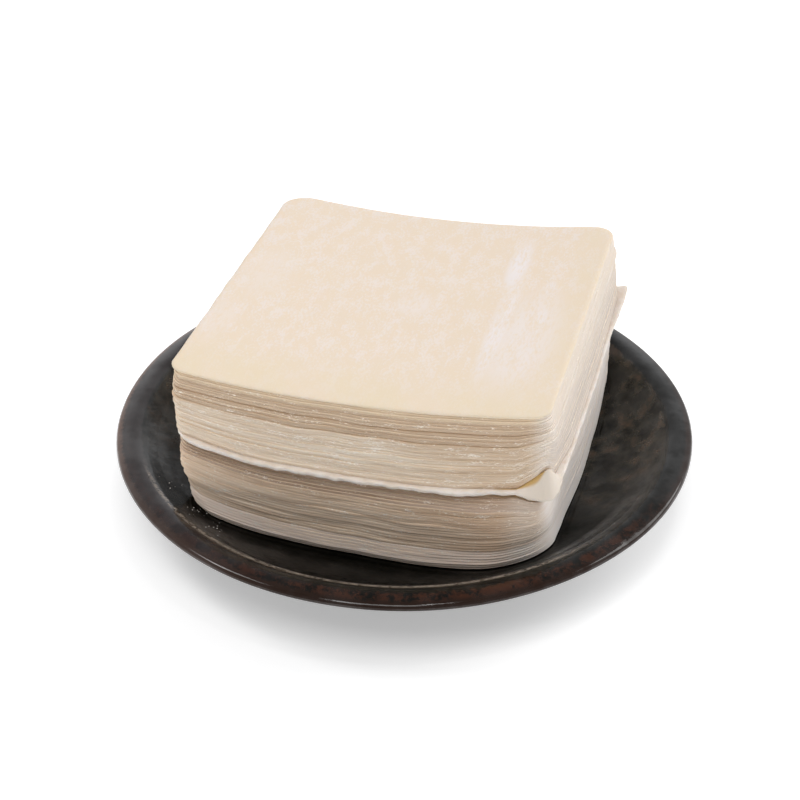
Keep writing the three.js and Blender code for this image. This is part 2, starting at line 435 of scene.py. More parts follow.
def layers_at(x, y):
    """Thickness of each sheet, and the gap under it, in shares of the stack's height at these points."""
    from_middle = np.maximum(abs(x - STACK_MIDDLE[0]), abs(y - STACK_MIDDLE[1]))
    edge = np.clip(1 - (SHEET_SIDE / 2 - from_middle) / EDGE_REACH, 0, 1) ** 2
    angle = angle_round(x, y)
    swell = np.array([np.interp(angle, ANGLE_GRID, wave) for wave in SWELL])
    part = np.array([np.interp(angle, ANGLE_GRID, wave) for wave in PART])
    body = WEIGHT[:, None] * (1 + SWELL_SHARE * edge * swell)
    gap = edge * OPENING[:, None] * part * (1 - right_press(x, y))
    lift = np.clip(1 - np.hypot(x - LIFT_CORNER[0], y - LIFT_CORNER[1]) / LIFT_REACH, 0, 1)
    gap[STRAY - 1] *= (1 - lift) ** 2
    total = (body + gap).sum(0)
    body, gap = body / total, gap / total
    for bundle, share in ((slice(STRAY, SHEETS), LIFT_SHARE), (slice(0, STRAY - 1), SAG_SHARE)):
        squeeze = 1 - share * lift / (body[bundle] + gap[bundle]).sum(0)
        body[bundle] *= squeeze
        gap[bundle] *= squeeze
    past_right = x - STRAY_MIDDLE[0] - STRAY_SIDE / 2 + FLAP_ROUND
    past_front = STRAY_MIDDLE[1] - STRAY_SIDE / 2 + FLAP_ROUND - y
    outside = np.hypot(past_right.clip(0), past_front.clip(0))
    outside += np.maximum(past_right, past_front).clip(None, 0)
    above = np.clip(1 + (outside - FLAP_ROUND) / FLAP_WIDTH, 0, 1) ** FLAP_POWER
    wedge = (LIFT_SHARE + SAG_SHARE) * lift
    gap[STRAY] += wedge * above
    gap[STRAY - 1] += wedge * (1 - above)
    return body, gap


# The stray sheet's own waves: its crinkled lip, one bulge in it, and the folds of its hanging corner.
CRINKLE = 0.20
CRINKLE_WAVE = ripple(*CRINKLE_WAVES)
BULGE_X = 24.5
BULGE_WIDTH = 3.4
BULGE_DROP = 0.75
LIP_ROOT = -44.9
LIP_WIDTH = 1.4
FOLD_ROOT = np.array([39.0, -46.8])
FOLD_COUNT = 11
FOLD_PHASE = -math.pi / 2
FOLD_SHARE = 0.07


def sheet_surface(number, x, y):
    """Middle height and half thickness of a sheet at points in the plan."""
    body, gap = layers_at(x, y)
    low = dish_height(np.hypot(x, y)) + REST_GAP
    rise = top_height(x, y) - low
    index = number - 1
    under = (body[:index] + gap[:index]).sum(0) + gap[index]
    middle = low + rise * (under + body[index] / 2)
    if number == STRAY:
        crinkle = CRINKLE * np.interp(angle_round(x, y), ANGLE_GRID, CRINKLE_WAVE)
        bulge = BULGE_DROP * np.exp(-((x - BULGE_X) / BULGE_WIDTH) ** 2)
        middle += np.clip((LIP_ROOT - y) / LIP_WIDTH, 0, 1) * (crinkle - bulge)
        fan = np.arctan2(y - FOLD_ROOT[1], x - FOLD_ROOT[0])
        middle += FOLD_SHARE * rise * gap[STRAY] * (1 + np.sin(FOLD_COUNT * fan + FOLD_PHASE)) / 2
    return middle, rise * body[index] * BODY_SHARE


# Outlines: how finely the sheets' sides are stepped, how loosely they lie, and how their edges wander.
CORNER_STEPS = 12
SIDE_STEPS = 62
FINE_STEPS = 160
LOWER_SHIFT = np.array([0.9, 0.0])
LOOSENESS = 0.4
WANDER = sheet_waves(*WANDER_WAVES)
SHEET_FLUTTER = 0.3
LEFT_FLUTTER = 1.8
BAND_WANDER = {start: ripple(BAND_WAVES[0] + start, *BAND_WAVES[1:]) for start in BAND_STARTS}
BAND_ROUND = 0.36
LOWER_ROUND = 0.14
FOOT_COUNT = 8

# How far the front edges stand back at some sheets, and how the lower ones come out at the right corner.
FRONT_COURSE = {1: 0.75, 2: 0.3, 3: 0.05, 4: 0.1, 8: 0.6, 9: 0.65, 21: 0.05, 24: 0.4, 27: 1.5, 28: 0.0}
FRONT_RECESS = along_course(FRONT_COURSE)
EVEN_COUNT = 4
CORNER_FULL = 12.0
CORNER_FADE = 30.0
CORNER_OUT = 1.0

# How far the left edges stand back, how the right face bows, and how the upper bundle's foot flares.
TOP_TUCK = 0.3
STRAY_TUCK = 1.9
SHEET_TUCK = 1.4
LOWER_TUCK = 0.9
UPPER_TUCK = 0.6
UPPER_TUCK_COUNT = 14
RIGHT_BOW = 1.0
BOW_MIDDLE = 8.0
BOW_REACH = 27.0
FLARE = 1.3
FLARE_COUNT = 16
FLARE_START = -40.0
FLARE_FADE = 15.0

# The stray sheet's ragged edge, and its back corner that stands out.
RAGGED = 0.06
RAGGED_WAVE = ripple(*RAGGED_WAVES)
TIP_OUT = np.array([1.2, -2.0])
TIP_REACH = 15.0


def spin_matrix(turn):
    """The matrix that turns points in the plan by an angle."""
    return np.array([[math.cos(turn), -math.sin(turn)], [math.sin(turn), math.cos(turn)]])


def square_loop(side, corner_radii, side_steps):
    """A square with round corners and its outward directions, evenly stepped, counterclockwise."""
    places, outward = [], []
    half_side = side / 2
    for corner, radius in enumerate(corner_radii):
        next_radius = corner_radii[(corner + 1) % 4]
        spin = spin_matrix(corner * math.pi / 2)
        for step in range(CORNER_STEPS):
            angle = -math.pi / 2 + math.pi / 2 * step / CORNER_STEPS
            ray = np.array([math.cos(angle), math.sin(angle)])
            middle = np.array([half_side - radius, radius - half_side])
            places.append(spin @ (middle + radius * ray))
            outward.append(spin @ ray)
        for level in np.linspace(radius - half_side, half_side - next_radius, side_steps, endpoint=False):
            places.append(spin @ np.array([half_side, level]))
            outward.append(spin @ np.array([1.0, 0.0]))
    return np.array(places), np.array(outward)


def band_start(number):
    """The lowest sheet of the band that a sheet sticks to."""
    return max(first for first in BAND_STARTS if first <= number)


def band_place(number):
    """Where a sheet lies in its band, from -1 at the band's foot to 1 at its head."""
    start = band_start(number)
    after = min([first for first in BAND_STARTS if first > number] + [SHEETS + 1])
    return (2 * (number - start) + 1) / (after - start) - 1


def left_tuck(number):
    """How far a sheet's left edge stands back: most at the foot of each bundle."""
    if number == SHEETS:
        return TOP_TUCK
    if number == STRAY:
        return STRAY_TUCK
    if number < STRAY:
        return SHEET_TUCK + LOWER_TUCK * (1 - number / STRAY) ** 2
    return SHEET_TUCK + UPPER_TUCK * max(0.0, 1 - (number - STRAY - 1) / UPPER_TUCK_COUNT)


def sheet_outline(number, side, turn, flutter, corner_radii):
    """The sheet's cut outline in the plate's plan and its middle."""
    own = node_middle(number)
    bundle = STACK_MIDDLE + (LOWER_SHIFT if number < STRAY else 0)
    middle = own if number == STRAY else bundle + LOOSENESS * (own - bundle)
    places, outward = square_loop(side, corner_radii, FINE_STEPS if number == STRAY else SIDE_STEPS)
    to_right, to_left = np.clip(outward[:, 0], 0, 1), np.clip(-outward[:, 0], 0, 1)
    to_front = np.clip(-outward[:, 1], 0, 1)
    angle = np.arctan2(places[:, 1], places[:, 0]) % (2 * math.pi)
    loose = SHEET_FLUTTER + LEFT_FLUTTER * to_left
    drift = flutter * loose * np.interp(angle, ANGLE_GRID, WANDER[number - 1])
    drift += flutter * np.interp(angle, ANGLE_GRID, BAND_WANDER[band_start(number)])
    bowed = LOWER_ROUND if number < STRAY else BAND_ROUND
    drift -= bowed * band_place(number) ** 2 * (1 - to_right * RIGHT_PRESS)
    recess = np.full(len(places), FRONT_RECESS[number - 1])
    if EVEN_COUNT < number < STRAY:
        corner = np.clip((places[:, 0] - CORNER_FULL) / CORNER_FADE, 0, 1)
        brought_out = CORNER_OUT * max(0, number - FOOT_COUNT) / (STRAY - FOOT_COUNT)
        recess -= corner * (brought_out + recess)
    drift -= recess * to_front + left_tuck(number) * to_left
    if number < STRAY:
        bow = np.clip(abs(places[:, 1] - BOW_MIDDLE) / BOW_REACH, 0, 1) ** 2
        drift -= RIGHT_BOW * bow * to_right
    if number > STRAY:
        flare = FLARE * max(0.0, 1 - (number - STRAY - 1) / FLARE_COUNT)
        drift += flare * to_right * np.clip((places[:, 1] - FLARE_START) / FLARE_FADE, 0, 1)
    if number == STRAY:
        drift += RAGGED * np.interp(angle, ANGLE_GRID, RAGGED_WAVE)
        from_tip = np.hypot(*(places - side / 2).T)
        places = places + TIP_OUT * np.exp(-(from_tip / TIP_REACH) ** 2)[:, None]
    return (places + outward * drift[:, None]) @ spin_matrix(turn).T + middle, middle


# Steps across a cut edge as (share of the rounding, level), and rings on the faces, in from the edge.
EDGE_STEPS = [(1.0, 1.0), (0.3, 0.80), (0.0, 0.35), (0.0, -0.35), (0.3, -0.80), (1.0, -1.0)]
FACE_INSETS = [1.0, 2.6, 6.0, 10.0, 15.0, 24.0, 34.0]
WIDE_PARTING = 0.6
SOFT_EDGE = 0.55
TOP_EDGE = 1.1
FLUSH_EDGE = 0.04
FOOT_FLUSH = 0.004
EDGE_LEAN = 0.7


def edge_rounding(number, pressed):
    """How far the upper and the lower corner of a sheet's cut edge are worn back by the partings there."""
    flush = FLUSH_EDGE if number > FOOT_COUNT else FOOT_FLUSH
    rounds = []
    for parting in (number + 1, number):
        worn = min(1.0, BAND_GAPS.get(parting, 0.0) / WIDE_PARTING) * (1 - pressed)
        rounds.append(flush + (SOFT_EDGE - flush) * worn)
    return [TOP_EDGE, rounds[1]] if number == SHEETS else rounds


def sheet_mesh(number, side, turn, flutter, insets, corner_radii):
    """Vertices, faces, cut-edge shares and levels of a sheet, a ring for each step of its edge and faces."""
    outline, middle = sheet_outline(number, side, turn, flutter, corner_radii)
    upper_round, lower_round = edge_rounding(number, right_press(outline[:, 0], outline[:, 1]))
    edge = [(inset * (upper_round if level > 0 else lower_round), level) for inset, level in EDGE_STEPS]
    steps = [(inset, 1.0) for inset in reversed(insets)] + edge + [(inset, -1.0) for inset in insets]
    count = len(outline)
    vertices, cut, levels = [], [], []
    radius = np.hypot(outline[:, 0], outline[:, 1])
    tilt = EDGE_LEAN * (dish_height(radius + 1) - dish_height(radius)) * max(0.0, 1 - number / STRAY)
    for inset, level in steps:
        lean = tilt * (level - 1) / 2
        ring = middle + (outline - middle) * (1 - 2 * (inset + lean) / side)[:, None]
        height, half = sheet_surface(number, ring[:, 0], ring[:, 1])
        vertices.append(np.column_stack([ring, height + level * half]))
        cut.append(np.full(count, 1.0 if abs(level) < 1 else 0.0))
        levels.append(np.full(count, level))
    height, half = sheet_surface(number, middle[0:1], middle[1:2])
    for level in (1.0, -1.0):
        vertices.append(np.array([[middle[0], middle[1], height[0] + level * half[0]]]))
        cut.append(np.zeros(1))
        levels.append(np.full(1, level))
    faces = [face[::-1] for face in tube_faces(len(steps), count)]
    return np.vstack(vertices), faces, np.concatenate(cut), np.concatenate(levels)


CLOUD_DETAIL = 4
GRAIN_DETAIL = 2


def new_group(name, inputs, outputs):
    """A shader node group with named sockets, given by kind, and its input values."""
    group = bpy.data.node_groups.new(name, "ShaderNodeTree")
    for way, sockets in (("INPUT", inputs), ("OUTPUT", outputs)):
        for kind, names in sockets.items():
            for socket in names:
                group.interface.new_socket(socket, in_out=way, socket_type=f"NodeSocket{kind}")
    return group, add_node(group, "NodeGroupInput").outputs


def flour_group():
    """Shader group: flour in soft clouds and fine grains, drawn out along the directions of small drag."""
    inputs = {"Vector": ("Place", "Drag"), "Float": ("Cloud", "Grain", "Bare", "Covered")}
    group, given = new_group("flour_dusting", inputs, {"Float": ("Mask",)})
    drawn = add_node(group, "ShaderNodeVectorMath", {0: given["Place"], 1: given["Drag"]},
                     operation="MULTIPLY").outputs["Vector"]
    cloud = noise(group, drawn, given["Cloud"], CLOUD_DETAIL)
    grain = noise(group, drawn, given["Grain"], GRAIN_DETAIL)
    both = compute(group, "ADD", product(group, grain, 0.5), product(group, cloud, 0.5))
    add_node(group, "NodeGroupOutput", {"Mask": smooth_step(group, both, given["Bare"], given["Covered"])})
    return group


FLOUR_GROUP = flour_group()


def flour_mask(tree, place, drag, cloud, grain, clay_and_highlight, covered):
    """Where flour lies, from 0 to 1, with clouds and grains of these scales."""
    node = add_node(tree, "ShaderNodeGroup", {"Place": place, "Drag": drag, "Cloud": cloud, "Grain": grain,
                                              "Bare": clay_and_highlight, "Covered": covered}, node_tree=FLOUR_GROUP)
    return node.outputs["Mask"]


# Flour as (drag, scale of its clouds, scale of its grains), and how the cut edges are shaded and covered.
# The sheets' faces, which show only in the shaded partings, are a little more golden than the top face:
# painted warm shade in the partings.
FACE_CREAM = (0.82, 0.66, 0.49, 1)
FLECK_WHITE = (0.93, 0.83, 0.72, 1)
STREAKS = ((0.07, 0.07, 1.2), 500, 1500)
STREAK_COVER = (0.38, 0.62)
STREAK_SHARE = 0.45
TONE_AND_SHADE_SHARE = 0.55
FLECKS = ((0.5, 0.5, 1.6), 420, 2600)
SHEET_PITCH = 0.00084
CORNER_COVER = 0.85
VEIL_FACING = (0.68, 0.99, 0.0, 0.92)
VEIL_LAYERS = (36 * SHEET_PITCH, 53 * SHEET_PITCH)
VEIL_WEAR = (0.0, 1.0, 0.72, 1.0)


def edge_group():
    """Shader group: cut edges, tan to pale with tone and painted shade, flecked with flour, lighter at the
    corner with flour and painted light, veiled on the right.
    """
    inputs = {"Vector": ("Place", "Facing"), "Color": ("Tan", "Pale", "Corner", "Low Veil", "High Veil"),
              "Float": ("Cut", "Tone And Shade", "Layer", "Corner Start", "Corner End", "Bare", "Covered")}
    group, given = new_group("cut_edges", inputs, {"Color": ("Colour",), "Float": ("Flecks",)})
    apart = split(group, given["Place"])
    place = add_node(group, "ShaderNodeCombineXYZ", {"X": apart["X"], "Y": apart["Y"], "Z": given["Layer"]})
    streaks = flour_mask(group, place.outputs["Vector"], *STREAKS, *STREAK_COVER)
    # Tone and painted shade from the sheets' attribute move the edge between tan and pale.
    toned_and_shaded = product(group, given["Tone And Shade"], TONE_AND_SHADE_SHARE)
    shade = compute(group, "MULTIPLY_ADD", streaks, STREAK_SHARE, toned_and_shaded)
    ground = blend(group, given["Cut"], FACE_CREAM, blend(group, shade, given["Tan"], given["Pale"]))
    worn = smooth_step(group, streaks, *VEIL_WEAR)
    # Towards the front right corner the edges turn lighter: partly flour, partly painted light on the rounded
    # corner.
    turned = smooth_step(group, apart["X"], given["Corner Start"], given["Corner End"], 0.0, CORNER_COVER)
    corner_lit = blend(group, product(group, turned, worn), ground, given["Corner"])
    height = smooth_step(group, given["Layer"], *VEIL_LAYERS)
    veil = blend(group, height, given["Low Veil"], given["High Veil"])
    covered = smooth_step(group, split(group, given["Facing"])["X"], *VEIL_FACING)
    veiled = blend(group, product(group, covered, worn), corner_lit, veil)
    flecks = flour_mask(group, place.outputs["Vector"], *FLECKS, given["Bare"], given["Covered"])
    shown = product(group, flecks, compute(group, "SUBTRACT", 1.0, covered))
    add_node(group, "NodeGroupOutput", {"Colour": blend(group, shown, veiled, FLECK_WHITE), "Flecks": shown})
    return group


EDGE_GROUP = edge_group()
DOUGH_ROUGHNESS = 0.72
DOUGH_GLOW = 0.2
GLOW_RADIUS = (0.0009, 0.0007, 0.0005)
DOUGH_RELIEF = 0.15
DOUGH_RELIEF_DEPTH = 0.0002


def finish_dough(tree, shader, colour, relief, strength=DOUGH_RELIEF):
    """Matte, slightly translucent dough of a given colour, with a low relief."""
    tree.links.new(colour, shader.inputs["Base Color"])
    shader.inputs["Roughness"].default_value = DOUGH_ROUGHNESS
    shader.inputs["Subsurface Weight"].default_value = DOUGH_GLOW
    shader.inputs["Subsurface Radius"].default_value = GLOW_RADIUS
    shader.inputs["Subsurface Scale"].default_value = 1.0
    bump = add_node(tree, "ShaderNodeBump", {"Height": relief, "Strength": strength,
                                             "Distance": DOUGH_RELIEF_DEPTH})
    tree.links.new(bump.outputs["Normal"], shader.inputs["Normal"])


def edge_dough(name, tan, pale, corner, corner_span, veils, flecks):
    """Dough that shows its cut edges, in these colours."""
    material, tree, shader = new_material(name)
    cut, tone_and_shade, layer = [add_node(tree, "ShaderNodeAttribute", attribute_name=attribute).outputs["Fac"]
                        for attribute in ("cut_edge", "tone_and_shade", "layer")]
    place = add_node(tree, "ShaderNodeTexCoord").outputs["Object"]
    facing = add_node(tree, "ShaderNodeNewGeometry").outputs["Normal"]
    edges = add_node(tree, "ShaderNodeGroup", {
        "Place": place, "Facing": facing, "Cut": cut, "Tone And Shade": tone_and_shade, "Layer": layer, "Tan": tan, "Pale": pale,
        "Corner": corner, "Corner Start": corner_span[0], "Corner End": corner_span[1],
        "Low Veil": veils[0], "High Veil": veils[1], "Bare": flecks[0], "Covered": flecks[1]},
        node_tree=EDGE_GROUP).outputs
    finish_dough(tree, shader, edges["Colour"], edges["Flecks"])
    return material


# Tone of the sheets' cut edges at some sheets, with some chance, and how it dims towards the right.
# The course is partly painted shade: it darkens the sheets just under the stray sheet, which overhangs them.
# The dimming is painted shade too: the edges darken towards the right, but lighten there on the sheets just
# under the stray sheet, where the painted shadow under it fades.
TONE_AND_SHADE_COURSE = {1: 0.8, 3: 0.9, 8: 0.9, 14: 1.0, 19: 0.4, 22: 0.0, 23: 1.0, 27: 0.0, 29: 1.0, 38: 0.8, 45: 0.0,
               46: 0.9, 50: 0.5, 56: 0.4}
COURSE_WEIGHT = 0.6
CHANCE_WEIGHT = 0.45
TONE_SEED = 71
TONE_AND_SHADE = COURSE_WEIGHT * along_course(TONE_AND_SHADE_COURSE)
TONE_AND_SHADE += CHANCE_WEIGHT * np.random.default_rng(TONE_SEED).uniform(0, 1, SHEETS)
RIGHT_SHADE_COURSE = {1: 0.5, 7: 0.5, 9: 1.2, 21: 1.2, 23: -0.4, 28: -0.4, 29: 0.9, 45: 0.9, 46: 0.0}
RIGHT_SHADE = along_course(RIGHT_SHADE_COURSE)
RIGHT_SHADE_START = 7.0
RIGHT_SHADE_REACH = 28.0

# Radii of the sheets' corners from the front right one on, and how the lower sheets' corners sag rounder.
CORNER_RADII = np.array([3.4, 6.5, 7.5, 3.8])
SAG_RADII = np.array([12.6, 3.0, 3.0, 6.5])
SAG_COUNTS = np.array([32, 16, 16, 16])
FLUTTER = 0.10


def lay_sheet(number, name, material, side, turn=0.0, flutter=FLUTTER, insets=FACE_INSETS, corner_radii=None):
    """One wrapper in its place in the stack, standing for its node."""
    if corner_radii is None:
        corner_radii = CORNER_RADII + SAG_RADII * np.clip(1 - number / SAG_COUNTS, 0, 1)
    vertices, faces, cut, levels = sheet_mesh(number, side, turn, flutter, insets, corner_radii)
    piece = mesh_piece(name, vertices, faces, material, "dough")
    # The tone carries painted shade, which changes it towards the right.
    tones_and_shade = TONE_AND_SHADE[number - 1] - RIGHT_SHADE[number - 1] * np.clip((vertices[:, 0] - RIGHT_SHADE_START) / RIGHT_SHADE_REACH, 0, 1)
    layers = (number + levels / 2) * SHEET_PITCH
    for attribute, values in (("cut_edge", cut), ("tone_and_shade", tones_and_shade), ("layer", layers)):
        piece.data.attributes.new(attribute, "FLOAT", "POINT").data.foreach_set("value", values)
    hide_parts(f"wrapper_{number:02d}")


# Colours of the cut edges as (tan, pale, lighter corner), and how soon flecks of flour start to show.
# The lighter corner is partly flour and partly painted light on the rounded front right corner.
# The bottom sheets' paler colours are partly flour and partly painted light where the plate's rim shades
# them.
BOTTOM_COLOURS = ((0.87, 0.67, 0.54, 1), (0.99, 0.81, 0.69, 1), (0.96, 0.85, 0.75, 1))
LOWER_COLOURS = ((0.61, 0.427, 0.29, 1), (0.98, 0.77, 0.59, 1), (0.72, 0.61, 0.51, 1))
SHADED_COLOURS = ((0.345, 0.213, 0.125, 1), (0.60, 0.437, 0.335, 1), (0.62, 0.52, 0.435, 1))
LOWER_SPAN = (0.034, 0.041)
LOWER_VEIL = (0.90, 0.83, 0.775, 1)
LOWER_VEILS = (LOWER_VEIL, LOWER_VEIL)
SOME_FLECKS = (0.565, 0.635)
FEW_FLECKS = (0.585, 0.655)
BOTTOM_COUNT = 7
SHADED_COUNT = 5
LOWER_TURN = math.radians(-0.6)
bottom_dough = edge_dough("bottom_dough", *BOTTOM_COLOURS, LOWER_SPAN, LOWER_VEILS, SOME_FLECKS)
lower_dough = edge_dough("lower_bundle_dough", *LOWER_COLOURS, LOWER_SPAN, LOWER_VEILS, SOME_FLECKS)
shaded_dough = edge_dough("shaded_dough", *SHADED_COLOURS, LOWER_SPAN, LOWER_VEILS, FEW_FLECKS)
for number in range(1, STRAY):
    dough = bottom_dough if number <= BOTTOM_COUNT else lower_dough
    # The sheets just under the stray sheet take the shaded colours: painted shadow under its overhang.
    if number >= STRAY - SHADED_COUNT:
        dough = shaded_dough
    lay_sheet(number, f"lower_sheet_{number:02d}", dough, SHEET_SIDE, LOWER_TURN)


# Stray wrapper: a larger sheet between the two bundles, white with flour, that stands out to the front
# and the right. Its front right corner hangs free of the bundle above and lies on the one below.
STRAY_CORNERS = (3.5, 1.3, 5.5, 6.5)
STRAY_INSETS = [0.7, 1.1, 1.5, 2.0, 2.6, 3.4, 4.6, 6.0, 8.5, 12.0, 16.0, 24.0, 34.0]
STRAY_FLUTTER = 0.08
STRAY_CREAM = (0.78, 0.69, 0.60, 1)
STRAY_WHITE = (0.86, 0.795, 0.735, 1)
STRAY_FLOUR = ((0.5, 0.5, 1.0), 300, 900)
STRAY_COVER = (0.38, 0.62)
FLAP_SHADED_CREAM = (0.72, 0.635, 0.545, 1)
FLAP_RIGHT = (0.037, 0.043)
FLAP_FRONT = (-0.036, -0.042)
CREASE_SHADOW_OCHRE = (0.56, 0.37, 0.14, 1)
CREASE_CENTRE = (STACK_MIDDLE + (SHEET_SIDE / 2 - CORNER_RADII[0]) * np.array([1, -1])) * MM
CREASE_SPAN = (0.00385, 0.00330)
CREASE_START = (0.031, 0.037)
CREASE_END = (0.0470, 0.0452)


def stray_dough():
    """White with flour, painted a darker cream on its hanging corner as painted shade, and ochre in a painted
    shadow along the crease where its right part leaves the stack.
    """
    material, tree, shader = new_material("stray_dough")
    place = add_node(tree, "ShaderNodeTexCoord").outputs["Object"]
    apart = split(tree, place)
    flour = flour_mask(tree, place, *STRAY_FLOUR, *STRAY_COVER)
    white = blend(tree, flour, STRAY_CREAM, STRAY_WHITE)
    # Painted shade: the hanging corner, which faces the light, is painted a darker cream.
    at_right = smooth_step(tree, apart["X"], *FLAP_RIGHT)
    corner = product(tree, at_right, smooth_step(tree, apart["Y"], *FLAP_FRONT))
    flap_shaded = blend(tree, corner, white, FLAP_SHADED_CREAM)
    # Painted shadow: a warm ochre line on the stray sheet along the crease under the upper bundle's corner.
    past_right = compute(tree, "MAXIMUM", compute(tree, "SUBTRACT", apart["X"], CREASE_CENTRE[0]), 0.0)
    past_front = compute(tree, "MAXIMUM", compute(tree, "SUBTRACT", CREASE_CENTRE[1], apart["Y"]), 0.0)
    squares = [compute(tree, "POWER", past, 2.0) for past in (past_right, past_front)]
    reach = compute(tree, "SQRT", compute(tree, "ADD", *squares))
    ends = [smooth_step(tree, apart["X"], *span) for span in (CREASE_START, CREASE_END)]
    crease_shadow = product(tree, *ends, smooth_step(tree, reach, *CREASE_SPAN))
    finish_dough(tree, shader, blend(tree, crease_shadow, flap_shaded, CREASE_SHADOW_OCHRE), flour)
    return material


lay_sheet(STRAY, "stray_sheet", stray_dough(), STRAY_SIDE, 0.0, STRAY_FLUTTER, STRAY_INSETS, STRAY_CORNERS)


# Upper bundle: the same squares. Just above the stray one they lie in fine floury lines, and under the top
# in flat tan bands with dark partings. Towards the top they are cut a little smaller.
TOP_SIDE = 90.0
TAPER_COUNT = 8
FLOURED_HEAD = 45
HEAD_BAND = 54
# The upper sheets' lighter corner, too, is partly flour and partly painted light.
UPPER_LIT_CORNER = (0.80, 0.715, 0.635, 1)
FLOURED_COLOURS = ((0.62, 0.465, 0.33, 1), (0.93, 0.795, 0.65, 1), UPPER_LIT_CORNER)
UPPER_COLOURS = ((0.465, 0.327, 0.215, 1), (0.62, 0.47, 0.34, 1), UPPER_LIT_CORNER)
HEAD_COLOURS = ((0.60, 0.45, 0.30, 1), (0.74, 0.58, 0.41, 1), UPPER_LIT_CORNER)
UPPER_SPAN = (0.040, 0.0450)
UPPER_VEILS = ((0.56, 0.485, 0.425, 1), (0.79, 0.695, 0.605, 1))
MANY_FLECKS = (0.545, 0.615)
floured_dough = edge_dough("floured_dough", *FLOURED_COLOURS, UPPER_SPAN, UPPER_VEILS, MANY_FLECKS)
upper_dough = edge_dough("upper_bundle_dough", *UPPER_COLOURS, UPPER_SPAN, UPPER_VEILS, SOME_FLECKS)
head_dough = edge_dough("head_band_dough", *HEAD_COLOURS, UPPER_SPAN, UPPER_VEILS, FEW_FLECKS)
for number in range(STRAY + 1, SHEETS):
    taper = max(0.0, 1 - (SHEETS - number) / TAPER_COUNT)
    dough = floured_dough if number <= FLOURED_HEAD else upper_dough if number < HEAD_BAND else head_dough
    lay_sheet(number, f"upper_sheet_{number:02d}", dough, SHEET_SIDE - (SHEET_SIDE - TOP_SIDE) * taper)


# Top wrapper: the sheet that shows its whole face, smooth and cream, sagging into a shallow trough.
# Flour lies on it in a fine mottle, and in soft patches where it was brushed from back to front.
TOP_INSETS = [1.5, 2.1, 2.9] + list(np.arange(4.0, 44.0, 2.0))
TOP_FLUTTER = 0.03
TOP_RELIEF = 0.08
TOP_CREAM = (0.820, 0.682, 0.540, 1)
TOP_YELLOW = (0.805, 0.675, 0.500, 1)
TOP_FLOUR = (0.850, 0.780, 0.760, 1)
BARE_FRONT = (-0.022, -0.042)
BARE_RIGHT = (0.034, 0.043, 0.0, 0.6)
BARE_SHARE = 0.7
YELLOW_NOISE = (60, 2)
YELLOW_COVER = (0.3, 0.6, 0.3, 1.0)
MOTTLE = ((1.0, 0.5, 1.0), 340, 2000)
MOTTLE_COVER = (0.45, 0.61)
MOTTLE_SHARE = 0.52
BRUSHING = ((1.0, 0.30, 1.0), 300, 1700)
BRUSHED_COVER = (0.35, 0.57)

# Brushed patches as (middle, reach, strength), in millimetres.
BRUSHED_PATCHES = [((23.8, 24.0), (3.6, 17.0), 1.0), ((25.4, -5.0), (3.4, 36.0), 0.9),
                   ((33.3, -12.5), (11.0, 32.5), 0.69), ((34.0, 13.0), (2.4, 5.0), 0.8),
                   ((34.5, -4.0), (3.4, 11.0), 0.85), ((2.5, 2.0), (6.0, 8.0), 0.6),
                   ((-37.0, 4.0), (9.0, 16.0), 0.35), ((-41.0, -20.0), (5.0, 14.0), 0.4)]


def patch_mask(tree, apart, middle, reach):
    """A soft oval on the sheet's face, with its middle and reach in millimetres."""
    offsets = []
    for axis, place, size in zip("XY", middle, reach):
        shifted = compute(tree, "SUBTRACT", apart[axis], place * MM)
        offsets.append(compute(tree, "POWER", compute(tree, "DIVIDE", shifted, size * MM), 2.0))
    return smooth_step(tree, compute(tree, "ADD", *offsets), 1.0, 0.0)


def top_dough():
    """Smooth cream dough, yellower along its edges, with a fine mottle and brushed streaks of flour."""
    material, tree, shader = new_material("top_dough")
    place = add_node(tree, "ShaderNodeTexCoord").outputs["Object"]
    apart = split(tree, place)
    bare_edge = compute(tree, "MAXIMUM", smooth_step(tree, apart["Y"], *BARE_FRONT),
                        smooth_step(tree, apart["X"], *BARE_RIGHT))
    yellow = product(tree, bare_edge, smooth_step(tree, noise(tree, place, *YELLOW_NOISE), *YELLOW_COVER))
    ground = blend(tree, yellow, TOP_CREAM, TOP_YELLOW)
    flour = product(tree, flour_mask(tree, place, *MOTTLE, *MOTTLE_COVER), MOTTLE_SHARE)
    brushed = flour_mask(tree, place, *BRUSHING, *BRUSHED_COVER)
    for middle, reach, strength in BRUSHED_PATCHES:
        patch = product(tree, patch_mask(tree, apart, middle, reach), strength, brushed)
        flour = compute(tree, "MAXIMUM", flour, patch)
    rubbed_off = product(tree, bare_edge, BARE_SHARE)
    kept = product(tree, flour, compute(tree, "SUBTRACT", 1.0, rubbed_off))
    finish_dough(tree, shader, blend(tree, kept, ground, TOP_FLOUR), flour, TOP_RELIEF)
    return material


lay_sheet(SHEETS, "top_sheet", top_dough(), TOP_SIDE, 0.0, TOP_FLUTTER, TOP_INSETS)


# Loose flour: a few specks of wheat flour that fell off the sheets and stuck to the glaze.
# Each is a tiny rounded lump. Most lie in front of the stack's left corner.
GRAIN_SIZES = (0.05, 0.22)
GRAIN_SPREAD = (0.7, 1.1)
GRAIN_TURNS = 6
GRAIN_RINGS = (-0.5, 0.5)
GRAIN_FLATNESS = 0.6
GRAIN_SEED = 91
FLOUR_GREY = (0.50, 0.46, 0.42, 1)
FLOUR_ROUGHNESS = 0.9

# Groups of specks as (middle, spread, count), in millimetres.
GRAIN_PLACES = [((-49.5, -41.0), 2.6, 9), ((-38.5, -48.5), 3.2, 16), ((-33.0, -50.5), 1.2, 9),
                ((59.7, -28.8), 0.3, 1)]


